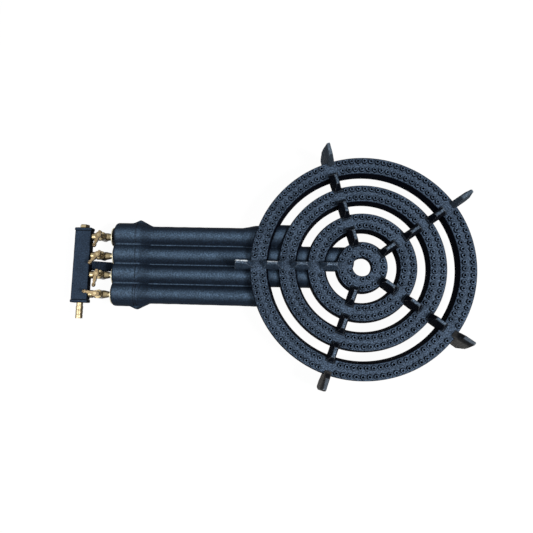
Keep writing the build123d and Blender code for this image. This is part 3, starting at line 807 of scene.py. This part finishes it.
@dataclass
class RingSet:
    """The four ported rings, each a trough with its cover; a boss's outline is in millimetres."""

    names: tuple[str, ...] = ("outer_ring", "second_ring", "third_ring", "centre_ring")
    top: float = 75.0 * MM
    height: float = 20.0 * MM
    cover: float = 5.0 * MM
    outer: float = 165.0 * MM
    step: float = 42.7 * MM
    width: float = 24.2 * MM
    outer_drafts: tuple[float, ...] = (2.0 * MM, 3.0 * MM, 3.0 * MM, 2.6 * MM)
    inner_draft: float = 3.4 * MM
    channel: float = 15.6 * MM
    floor: float = 4.0 * MM
    edge: float = 1.6 * MM
    flat: float = 0.4 * MM
    foot_round: float = 2.0 * MM
    facet: float = 3.4 * MM
    least_facets: int = 64
    cover_sharp: float = 32.0
    trough_sharp: float = 40.0
    spokes: int = 5
    first_spoke: float = math.radians(36.0)
    row_offset: float = 6.2 * MM
    pitch: float = 9.6 * MM
    clear: float = 21.3 * MM
    clear_share: float = 0.45
    boss_outline: tuple[Point, ...] = (
        (0.0, -1.2), (3.9, -1.2), (3.9, 0.0), (3.5, 3.2), (3.25, 3.5), (0.0, 3.5))
    boss_sides: int = 12
    boss_height: float = 3.5 * MM
    port_radius: float = 1.8 * MM
    port_sides: int = 8
    port_depth: float = 9.2 * MM
    bore: float = 13.8 * MM
    bore_draft: float = 0.2 * MM

    def inner_edge(self, ring: int, share: float) -> float:
        """Find the radius of a ring's inner wall.

        Args:
            ring: number of the ring, from the outermost.
            share: 0 at the port face and 1 at the bottom.

        Returns:
            The radius.
        """
        if ring == len(self.names) - 1:
            return self.bore + self.bore_draft * share
        return self.radii(ring)[1] - self.inner_draft * share

    def outer_edge(self, ring: int, share: float) -> float:
        """Return the radius of a ring's outer wall at a share of its depth."""
        return self.radii(ring)[0] + self.outer_drafts[ring] * share

    def radii(self, ring: int) -> Point:
        """Return the outer and inner radius of a ring's port face."""
        outside = self.outer - ring * self.step
        return outside, outside - self.width

    def gap(self, ring: int) -> Point:
        """Return the inner and outer radius of the gap inside a ring."""
        return self.radii(ring + 1)[0], self.radii(ring)[1]

    def count(self, radius: float) -> int:
        """Return how many ports a row has between two spokes."""
        sector = 2 * math.pi * radius / self.spokes
        return 1 + int((sector - min(self.clear, self.clear_share * sector)) / self.pitch)

    def row_group(self) -> NodeTree:
        """Make the group that puts one row of port centres between the spokes.

        Returns:
            The geometry group.
        """
        tree, sheet, given, sink = new_group(
            "Port Row", "GeometryNodeTree",
            [("Radius", "Float"), ("Count", "Int"), ("Pitch", "Float"), ("Spokes", "Int"),
             ("First Spoke", "Float"), ("Top", "Float"), ("Axis X", "Float")], [("Points", "Geometry")])
        index = sheet.add("GeometryNodeInputIndex")
        sector = sheet.math("FLOOR", sheet.math("DIVIDE", sheet.math("ADD", index, 0.5), given["Count"]))
        within = sheet.math("SUBTRACT", index, sheet.product(sector, given["Count"]))
        middle = sheet.math("DIVIDE", sheet.math("SUBTRACT", given["Count"], 1.0), 2.0)
        turn = sheet.math("DIVIDE", 2 * math.pi, given["Spokes"])
        step = sheet.math("DIVIDE", given["Pitch"], given["Radius"])
        along = sheet.product(sheet.math("SUBTRACT", within, middle), step)
        past = sheet.product(turn, sheet.math("ADD", sector, 0.5))
        angle = sheet.math("ADD", sheet.math("ADD", given["First Spoke"], along), past)
        x = sheet.product(sheet.math("COSINE", angle), given["Radius"])
        y = sheet.product(sheet.math("SINE", angle), given["Radius"])
        x_there = sheet.math("ADD", x, given["Axis X"])
        spot = sheet.add("ShaderNodeCombineXYZ", {0: x_there, 1: y, 2: given["Top"]})
        total = sheet.product(given["Count"], given["Spokes"])
        points = sheet.add("GeometryNodePoints", {"Count": total, "Position": spot})
        sheet.feed(sink, {"Points": points})
        return tree

    def cover_tree(self) -> NodeTree:
        """Make the tree that sets the bosses on a plain cover and drills them.

        Returns:
            The geometry tree.
        """
        tree, sheet, given, sink = new_group(
            "Ported Cover", "GeometryNodeTree",
            [("Cover", "Geometry"), ("Outer Radius", "Float"), ("Inner Radius", "Float"),
             ("Outer Count", "Int"), ("Inner Count", "Int"), ("Boss", "Object"), ("Port Radius", "Float"),
             ("Port Depth", "Float"), ("Finish", "Material")], [("Geometry", "Geometry")])
        row = self.row_group()
        points = sheet.add("GeometryNodeJoinGeometry")
        for side in ("Outer", "Inner"):
            inputs = {
                "Radius": given[f"{side} Radius"], "Count": given[f"{side} Count"], "Pitch": self.pitch,
                "Spokes": self.spokes, "First Spoke": self.first_spoke, "Top": self.top, "Axis X": AXIS_X}
            sheet.feed(points, {0: sheet.add("GeometryNodeGroup", inputs, node_tree=row)})
        boss = sheet.add("GeometryNodeObjectInfo", {"Object": given["Boss"]})
        drill = sheet.add("GeometryNodeMeshCylinder", {
            "Vertices": self.port_sides, "Radius": given["Port Radius"],
            "Depth": sheet.product(given["Port Depth"], 2.0)})
        lifted = sheet.add("GeometryNodeTransform", {
            "Geometry": drill.outputs["Mesh"], "Translation": (0.0, 0.0, self.boss_height)})
        shapes = []
        for shape in (boss.outputs["Geometry"], lifted):
            spread = sheet.add("GeometryNodeInstanceOnPoints", {"Points": points, "Instance": shape})
            shapes.append(sheet.add("GeometryNodeRealizeInstances", {0: spread}))
        joined = sheet.add("GeometryNodeMeshBoolean", operation="UNION", solver="MANIFOLD")
        for shape in (given["Cover"], shapes[0]):
            sheet.feed(joined, {"Mesh 2": shape})
        bored = sheet.add("GeometryNodeMeshBoolean", {"Mesh 1": joined, "Mesh 2": shapes[1]},
                          operation="DIFFERENCE", solver="MANIFOLD")
        real = sheet.add("GeometryNodeRealizeInstances", {0: bored})
        dressed = sheet.add("GeometryNodeSetMaterial", {"Geometry": real, "Material": given["Finish"]})
        sheet.feed(sink, {"Geometry": dressed})
        return tree

    def cover_outline(self, ring: int) -> list[Point]:
        """Draw the section of a cover, with its upper edges rounded.

        Args:
            ring: number of the ring, from the outermost.

        Returns:
            Closed loop of radius and height.
        """
        outside = self.radii(ring)[0]
        inside = self.inner_edge(ring, 0.0)
        seat = self.top - self.cover
        share = self.cover / self.height
        loop = round_corners([
            (self.outer_edge(ring, share), seat, 0.0), (outside, self.top, self.edge),
            (inside, self.top, self.edge), (self.inner_edge(ring, share), seat, 0.0)])
        half = len(loop) // 2
        reach = self.edge + self.flat
        return loop[:half] + [(outside - reach, self.top), (inside + reach, self.top)] + loop[half:]

    def trough_outline(self, ring: int) -> list[Point]:
        """Draw the section of a trough: drafted walls, rounded bottom and gas channel.

        Args:
            ring: number of the ring, from the outermost.

        Returns:
            Closed loop of radius and height.
        """
        outside, inside = self.radii(ring)
        middle = (outside + inside) / 2
        low = self.top - self.height
        seat = self.top - self.cover
        share = self.cover / self.height
        half = self.channel / 2
        deep = low + self.floor
        return round_corners([
            (self.outer_edge(ring, share), seat, 0.0), (middle + half, seat, 0.0),
            (middle + half, deep, 0.0), (middle - half, deep, 0.0), (middle - half, seat, 0.0),
            (self.inner_edge(ring, share), seat, 0.0), (self.inner_edge(ring, 1.0), low, self.foot_round),
            (self.outer_edge(ring, 1.0), low, self.foot_round)])

    def build(self, finishes: Finishes) -> None:
        """Make and place every cover and trough.

        Args:
            finishes: all finishes.
        """
        tree = self.cover_tree()
        boss = hold("boss_shape", lathe([(r * MM, z * MM) for r, z in self.boss_outline], self.boss_sides))
        for ring, name in enumerate(self.names):
            outside, inside = self.radii(ring)
            middle = (outside + inside) / 2
            far, near = middle + self.row_offset, middle - self.row_offset
            segments = max(self.least_facets, 4 * round(outside / self.facet))
            holder = hold(f"{name}_plain", lathe(self.cover_outline(ring), segments, AXIS))
            ported = holder.modifiers.new("Ports", "NODES")
            ported.node_group = tree
            inputs = {
                "Outer Radius": far, "Inner Radius": near, "Outer Count": self.count(far),
                "Inner Count": self.count(near), "Boss": boss, "Port Radius": self.port_radius,
                "Port Depth": self.port_depth, "Finish": finishes.iron}
            for item in tree.interface.items_tree:
                if item.in_out == "INPUT" and item.name in inputs:
                    ported[item.identifier] = inputs[item.name]
            cover = plain_mesh(holder)
            shade(cover, self.cover_sharp)
            place(f"{name}_cover_cast", cover, finishes.iron, [f"{name}_cover"])
            trough = lathe(self.trough_outline(ring), segments, AXIS)
            shade(trough, self.trough_sharp)
            place(f"{name}_trough_cast", trough, finishes.iron, [f"{name}_trough"])
        bpy.data.objects.remove(boss, do_unlink=True)


@dataclass
class Blades:
    """Pan rests and legs: radial blades that grow out of the rings."""

    rings: RingSet
    lap: float = 4.5 * MM
    leg_lap: float = 5.5 * MM
    foot_half: float = 5.3 * MM
    leg_half: float = 4.8 * MM
    skirt: float = 2.0 * MM
    skirt_rise: float = 2.6 * MM
    skirt_sink: float = 0.6 * MM
    rest_inset: float = 0.6 * MM
    front_inset: float = 0.8 * MM
    groups: tuple[str, ...] = ("outer_pan_rests", "middle_pan_rests", "inner_pan_rests")
    front: str = "front_pan_rest"
    uprights: tuple[str, ...] = (
        "leg_rear_left", "leg_left", "leg_right", "leg_rear_right", "front_pan_rest", "leg_front")
    bare: tuple[str, ...] = ("leg_right", "leg_rear_right")
    softener: Softener = Softener(0.8 * MM, 3, 0.12 * MM, 150.0, 0.5 * MM)

    def skirt_block(self, shape: BMesh, angle: float, near: float, far: float, half: float,
                    inwards: bool) -> None:
        """Add the spread foot of a blade on a port face.

        Args:
            shape: bmesh of the piece, added to in place.
            angle: direction of the blade in radians.
            near: radius where the foot starts.
            far: radius where it stops.
            half: half thickness of the blade at the port face.
            inwards: whether the foot spreads at its inner end, or else at its outer end.
        """
        turn = AXIS @ Matrix.Rotation(angle, 4, "Z")
        low, high = self.rings.top - self.skirt_sink, self.rings.top + self.skirt_rise
        a, b = (near - self.skirt, far) if inwards else (near, far + self.skirt)
        wide = half + self.skirt
        base = [(a, -wide), (b, -wide), (b, wide), (a, wide)]
        head = [(near, -half), (far, -half), (far, half), (near, half)]
        frustum(shape, [turn @ Vector((x, y, low)) for x, y in base],
                [turn @ Vector((x, y, high)) for x, y in head])

    def rest_skirts(self, gap: int, shape: BMesh) -> None:
        """Add the spread feet of the rests across one gap, two to a rest.

        Args:
            gap: number of the gap, from the outermost.
            shape: bmesh of the piece, added to in place.
        """
        inner, outer = self.rings.gap(gap)
        for spoke in range(self.rings.spokes):
            angle = self.rings.first_spoke + spoke * 2 * math.pi / self.rings.spokes
            self.skirt_block(shape, angle, inner - self.lap, inner - self.rest_inset, self.foot_half, True)
            self.skirt_block(shape, angle, outer + self.rest_inset, outer + self.lap, self.foot_half, False)

    def front_skirt(self, shape: BMesh) -> None:
        """Add the spread foot of the front rest on the outer ring."""
        edge = self.rings.outer
        self.skirt_block(shape, math.pi, edge - self.leg_lap, edge - self.front_inset, self.leg_half, True)

    def build(self, finishes: Finishes) -> None:
        """Make and place every blade.

        Args:
            finishes: all finishes.
        """
        for gap, name in enumerate(self.groups):
            mesh = self.softener.cast(name, partial(self.rest_skirts, gap))
            place(f"{name}_cast", mesh, finishes.rest, [name])
        for name in self.uprights:
            is_rest = name == self.front
            mesh = self.softener.cast(name, self.front_skirt if is_rest else None)
            finish = finishes.rest if is_rest else finishes.bare_and_lit_leg if name in self.bare else finishes.leg
            place(f"{name}_cast", mesh, finish, [name])


@dataclass
class MixerTubes:
    """The four mixing tubes, cast side by side.

    The outline of a lug is in millimetres, from its tip along X and from the middle along Y.
    """

    rings: RingSet
    rows: tuple[float, ...] = (45.45 * MM, 15.15 * MM, -15.15 * MM, -45.45 * MM)
    bell: float = 20.0 * MM
    seams: tuple[tuple[int, float], ...] = (
        (0, -346.3 * MM), (1, -345.0 * MM), (2, -343.5 * MM), (3, -345.5 * MM), (3, -342.0 * MM))
    seam_width: float = 0.7 * MM
    seam_rise: float = 0.75 * MM
    seam_sides: int = 96
    lug_x: float = -340.0 * MM
    lug_half: float = 5.5 * MM
    lug_out: float = 66.0 * MM
    lug_lean: float = -3.5 * MM
    lug_tip: float = 0.2 * MM
    lug_outline: tuple[Point, ...] = ((-15.0, 62.5), (0.0, 69.6), (4.0, 66.0), (4.0, 62.0))
    lift: float = 9.0 * MM
    lift_low: float = 4.0 * MM
    lift_blend: float = 5.0 * MM
    lift_fade: float = 3.0 * MM
    webs: tuple[Point, ...] = ((30.3 * MM, 115.0 * MM), (0.0, 72.0 * MM), (-30.3 * MM, 155.0 * MM))
    web_start: float = -215.0 * MM
    web_half: float = 2.0 * MM
    web_deep: float = 5.0 * MM
    web_high: float = 5.5 * MM
    softener: Softener = Softener(1.6 * MM, 3, 0.2 * MM, 110.0, 0.8 * MM)

    def lean_lugs(self, shape: BMesh) -> None:
        """Lean the pointed side lugs towards the mouths, with a long slope on that side.

        Args:
            shape: bmesh of the piece, added to in place.
        """
        for vertex in shape.verts:
            if abs(vertex.co.y) > self.lug_out:
                vertex.co.x += self.lug_lean
                vertex.co.y += math.copysign(self.lug_tip, vertex.co.y)
        tip = AXIS_X + self.lug_x + self.lug_lean
        for side in (1, -1):
            flat = [(tip + x * MM, side * y * MM) for x, y in self.lug_outline]
            self.block(shape, flat, self.lug_half, self.lug_half)

    @staticmethod
    def block(shape: BMesh, flat: Sequence[Point], deep: float, high: float) -> None:
        """Add a block over a flat outline, from below the tubes' middle to above it."""
        frustum(shape, *([Vector((x, y, AXIS_Z + z)) for x, y in flat] for z in (-deep, high)))

    def finish_casting(self, shape: BMesh) -> None:
        """Lean the lugs and fill the narrow slits between the tubes with webs.

        Args:
            shape: bmesh of the piece, added to in place.
        """
        self.lean_lugs(shape)
        for middle, end in self.webs:
            near, far, stop = middle - self.web_half, middle + self.web_half, AXIS_X - end
            flat = [(self.web_start, near), (stop, near), (stop, far), (self.web_start, far)]
            self.block(shape, flat, self.web_deep, self.web_high)

    def seam_mesh(self) -> Mesh:
        """Make the thin lines that the mould's joint leaves round the bells.

        Returns:
            One mesh of all lines.
        """
        shape = bmesh.new()
        low, high, wide = self.bell - self.seam_rise, self.bell + self.seam_rise, self.seam_width
        section = [(low, -wide), (high, -wide / 2), (high, wide / 2), (low, wide)]
        for row, x in self.seams:
            spot = Matrix.Translation((AXIS_X + x, self.rows[row], AXIS_Z))
            ring = lathe(section, self.seam_sides, spot @ Matrix.Rotation(math.pi / 2, 4, "Y"))
            shape.from_mesh(ring)
            bpy.data.meshes.remove(ring)
        return settle(shape, "tube_seams")

    def saddle(self, spot: Vector, gaps: Sequence[Point]) -> float:
        """Find how far the upper half of a tube rises in the gaps, where it is cast to the rings.

        Args:
            spot: place on a tube.
            gaps: inner and outer radius of each gap.

        Returns:
            The rise in metres.
        """
        reach = math.hypot(spot.x - AXIS_X, spot.y)
        upper = min(max((spot.z - AXIS_Z + self.lift_low) / self.lift_blend, 0.0), 1.0)
        away = min(max(inner - reach, reach - outer, 0.0) for inner, outer in gaps)
        return self.lift * upper * max(0.0, 1.0 - away / self.lift_fade)

    def build(self, finishes: Finishes) -> None:
        """Make and place the tubes and their seams.

        Args:
            finishes: all finishes.
        """
        mesh = self.softener.cast("mixer_tubes", self.finish_casting)
        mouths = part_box("mixer_tubes")[0][0]
        gaps = [self.rings.gap(ring) for ring in range(len(self.rings.names) - 1)]
        for vertex in mesh.vertices:
            vertex.co.x = max(vertex.co.x, mouths)
            vertex.co.z += self.saddle(vertex.co, gaps)
        place("mixer_tubes_cast", mesh, finishes.tube, ["mixer_tubes"])
        place("tube_seams", self.seam_mesh(), finishes.seam, [])


@dataclass
class Manifold:
    """The gas bar with its end caps and strap."""

    nodes: tuple[str, ...] = ("manifold_bar", "manifold_cap_left", "manifold_cap_right", "manifold_strap")
    softener: Softener = Softener(0.7 * MM, 2, 0.1 * MM, 160.0)

    def build(self, finishes: Finishes) -> None:
        """Make and place the painted pieces of the manifold.

        Args:
            finishes: all finishes.
        """
        for name in self.nodes:
            mesh = self.softener.cast(name)
            place(f"{name}_painted", mesh, finishes.bar, [name])


@dataclass
class HoseTail:
    """Ridged brass tail that a gas hose is pushed over."""

    axis_x: float = -293.9 * MM
    seat_y: float = -62.0 * MM
    sides: int = 40
    sharp: float = 30.0
    plain: float = 5.0 * MM
    neck: float = 0.5 * MM
    valley: float = 4.8 * MM
    crest: float = 5.5 * MM
    crest_fall: float = 0.15 * MM
    ridge_start: float = 4.5 * MM
    ridges: int = 3
    groove: float = 0.6 * MM
    crest_from: float = 0.9 * MM
    lip: float = 0.2 * MM
    bore: float = 2.6 * MM
    bore_depth: float = 8.0 * MM

    def outline(self, length: float) -> list[Point]:
        """Draw the section of the tail from its seat to its open end.

        Args:
            length: length of the tail in metres.

        Returns:
            Closed loop of radius and height.
        """
        pitch = (length - self.ridge_start) / self.ridges
        points: list[Point] = [(0.0, 0.0), (self.plain, 0.0), (self.plain, self.ridge_start - self.neck)]
        for k in range(self.ridges):
            start = self.ridge_start + k * pitch
            points += [
                (self.valley, start), (self.valley, start + self.groove),
                (self.crest, start + self.crest_from),
                (self.crest - self.crest_fall, start + pitch - self.lip)]
        deep = length - self.bore_depth
        return points + [(self.valley, length), (self.bore, length), (self.bore, deep), (0.0, deep)]

    def build(self, finishes: Finishes) -> None:
        """Make and place the tail.

        Args:
            finishes: all finishes.
        """
        low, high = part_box("hose_barb")
        seat = min(high[1], self.seat_y)
        turn = Matrix.Translation((self.axis_x, seat, AXIS_Z)) @ Matrix.Rotation(math.pi / 2, 4, "X")
        mesh = lathe(self.outline(seat - low[1]), self.sides, turn)
        shade(mesh, self.sharp)
        place("hose_tail_turned", mesh, finishes.jet, ["hose_barb"])


@dataclass
class Fittings:
    """Taps, jets, shutters and small parts, which keep the shapes of their solids."""

    shutter_start: str = "air_shutter"
    lever_end: str = "_lever"
    jet_start: str = "gas_jet"

    def finish_of(self, node: str, slot: Slot, finishes: Finishes) -> Material:
        """Choose the finish of a node, by its name where that tells and else by its slot.

        Args:
            node: name of the node.
            slot: its material slot in the record.
            finishes: all finishes.

        Returns:
            The finish.
        """
        if node.startswith(self.shutter_start):
            return finishes.shutter
        if node.endswith(self.lever_end):
            return finishes.lever
        if node.startswith(self.jet_start):
            return finishes.jet
        return finishes.of(slot)

    def build(self, finishes: Finishes) -> None:
        """Dress every node; the castings later stand for theirs.

        Args:
            finishes: all finishes.
        """
        slots = {part["node"]: part["material_slot"] for part in frame["record"]["subparts"]}
        for name, solid in frame["nodes"].items():
            finish = self.finish_of(name, Slot(slots[name]), finishes)
            solid.data.materials.clear()
            solid.data.materials.append(finish)
            LOG.info("%s: %s", name, finish.name)


@dataclass(frozen=True)
class Lamp:
    """One soft round lamp that points at the middle of the burner."""

    name: str
    spot: Spot
    width: float
    power: float

    def hang(self) -> None:
        """Put the lamp into the scene."""
        light = bpy.data.lights.new(self.name, "AREA")
        light.shape = "DISK"
        light.size = self.width
        light.energy = self.power
        holder = hold(self.name, light)
        holder.location = self.spot
        holder.rotation_euler = (-Vector(self.spot)).to_track_quat("-Z", "Y").to_euler()


@dataclass
class Studio:
    """Pale floor, soft light and the camera of the photograph."""

    eye: Spot = (50.388 * MM, -92.909 * MM, 840.862 * MM)
    turns: Spot = (6.7203, 3.7253, 1.2042)
    focal_pixels: float = 521.2
    frame_pixels: float = 533.0
    sensor: float = 36.0
    nearest: float = 10.0 * MM
    floor_half: float = 12.0
    floor_tone: Tone = (0.6, 0.6, 0.6)
    shadow_tone: Tone = (0.055, 0.055, 0.055)
    floor_glow: float = 0.962
    sky: Tone = (0.9, 0.95, 1.0)
    sky_power: float = 0.25
    lamps: tuple[Lamp, ...] = (
        Lamp("ring_side_lamp", (0.72, -0.28, 1.35), 0.34, 20.0),
        Lamp("tap_side_lamp", (-0.98, -0.25, 1.25), 0.4, 8.0))

    def camera(self) -> None:
        """Set the camera."""
        lens = bpy.data.cameras.new("photo_camera")
        lens.sensor_width = self.sensor
        lens.lens = self.focal_pixels / self.frame_pixels * self.sensor
        lens.clip_start = self.nearest
        eye = hold("photo_camera", lens)
        turn = Matrix.Identity(4)
        for angle, axis in zip(self.turns, "XYZ"):
            turn = turn @ Matrix.Rotation(math.radians(angle), 4, axis)
        eye.matrix_world = Matrix.Translation(self.eye) @ turn
        bpy.context.scene.camera = eye

    @staticmethod
    def backdrop(sheet: NodeSheet, lit: Node, shown: Node, output: str) -> None:
        """Join what lights the scene and what is seen.

        Args:
            sheet: sheet of the floor or the sky.
            lit: shader that lights the scene.
            shown: shader that camera, glossy and transmission rays see.
            output: Blender's name of the output node.
        """
        rays = sheet.add("ShaderNodeLightPath").outputs
        either = sheet.math("MAXIMUM", rays["Is Camera Ray"], rays["Is Glossy Ray"])
        seen = sheet.math("MAXIMUM", either, rays["Is Transmission Ray"])
        sheet.add(output, {"Surface": sheet.add("ShaderNodeMixShader", {0: seen, 1: lit, 2: shown})})

    def floor(self) -> None:
        """Lay the floor, white to the camera but for a soft shadow."""
        half = self.floor_half
        mesh = bpy.data.meshes.new("floor")
        corners = [(-half, -half, 0), (half, -half, 0), (half, half, 0), (-half, half, 0)]
        mesh.from_pydata(corners, [], [(0, 1, 2, 3)])
        material = bpy.data.materials.new("pale_floor")
        material.use_nodes = True
        sheet = NodeSheet(material.node_tree)
        material.node_tree.nodes.clear()
        plain = sheet.add("ShaderNodeBsdfDiffuse", {"Color": self.floor_tone})
        faint = sheet.add("ShaderNodeBsdfDiffuse", {"Color": self.shadow_tone})
        glow = sheet.add("ShaderNodeEmission", {"Color": WHITE, "Strength": self.floor_glow})
        shown = sheet.add("ShaderNodeAddShader", {0: glow, 1: faint})
        self.backdrop(sheet, plain, shown, "ShaderNodeOutputMaterial")
        mesh.materials.append(material)
        hold("floor", mesh)

    def light(self) -> None:
        """Set the sky and the lamps."""
        world = bpy.data.worlds.new("studio")
        world.use_nodes = True
        sheet = NodeSheet(world.node_tree)
        world.node_tree.nodes.clear()
        dim = sheet.add("ShaderNodeBackground", {"Color": self.sky, "Strength": self.sky_power})
        white = sheet.add("ShaderNodeBackground", {"Color": WHITE, "Strength": 1.0})
        self.backdrop(sheet, dim, white, "ShaderNodeOutputWorld")
        bpy.context.scene.world = world
        for lamp in self.lamps:
            lamp.hang()

    def build(self) -> None:
        """Set up the whole studio."""
        self.camera()
        self.floor()
        self.light()
        bpy.context.scene.view_settings.view_transform = "Standard"


def main() -> None:
    """Build the burner and its studio."""
    logging.basicConfig(level=logging.INFO, format="%(message)s")
    finishes = Finishes.make()
    Fittings().build(finishes)
    rings = RingSet()
    rings.build(finishes)
    Blades(rings).build(finishes)
    MixerTubes(rings).build(finishes)
    Manifold().build(finishes)
    HoseTail().build(finishes)
    Studio().build()


if __name__ == "__main__":
    main()
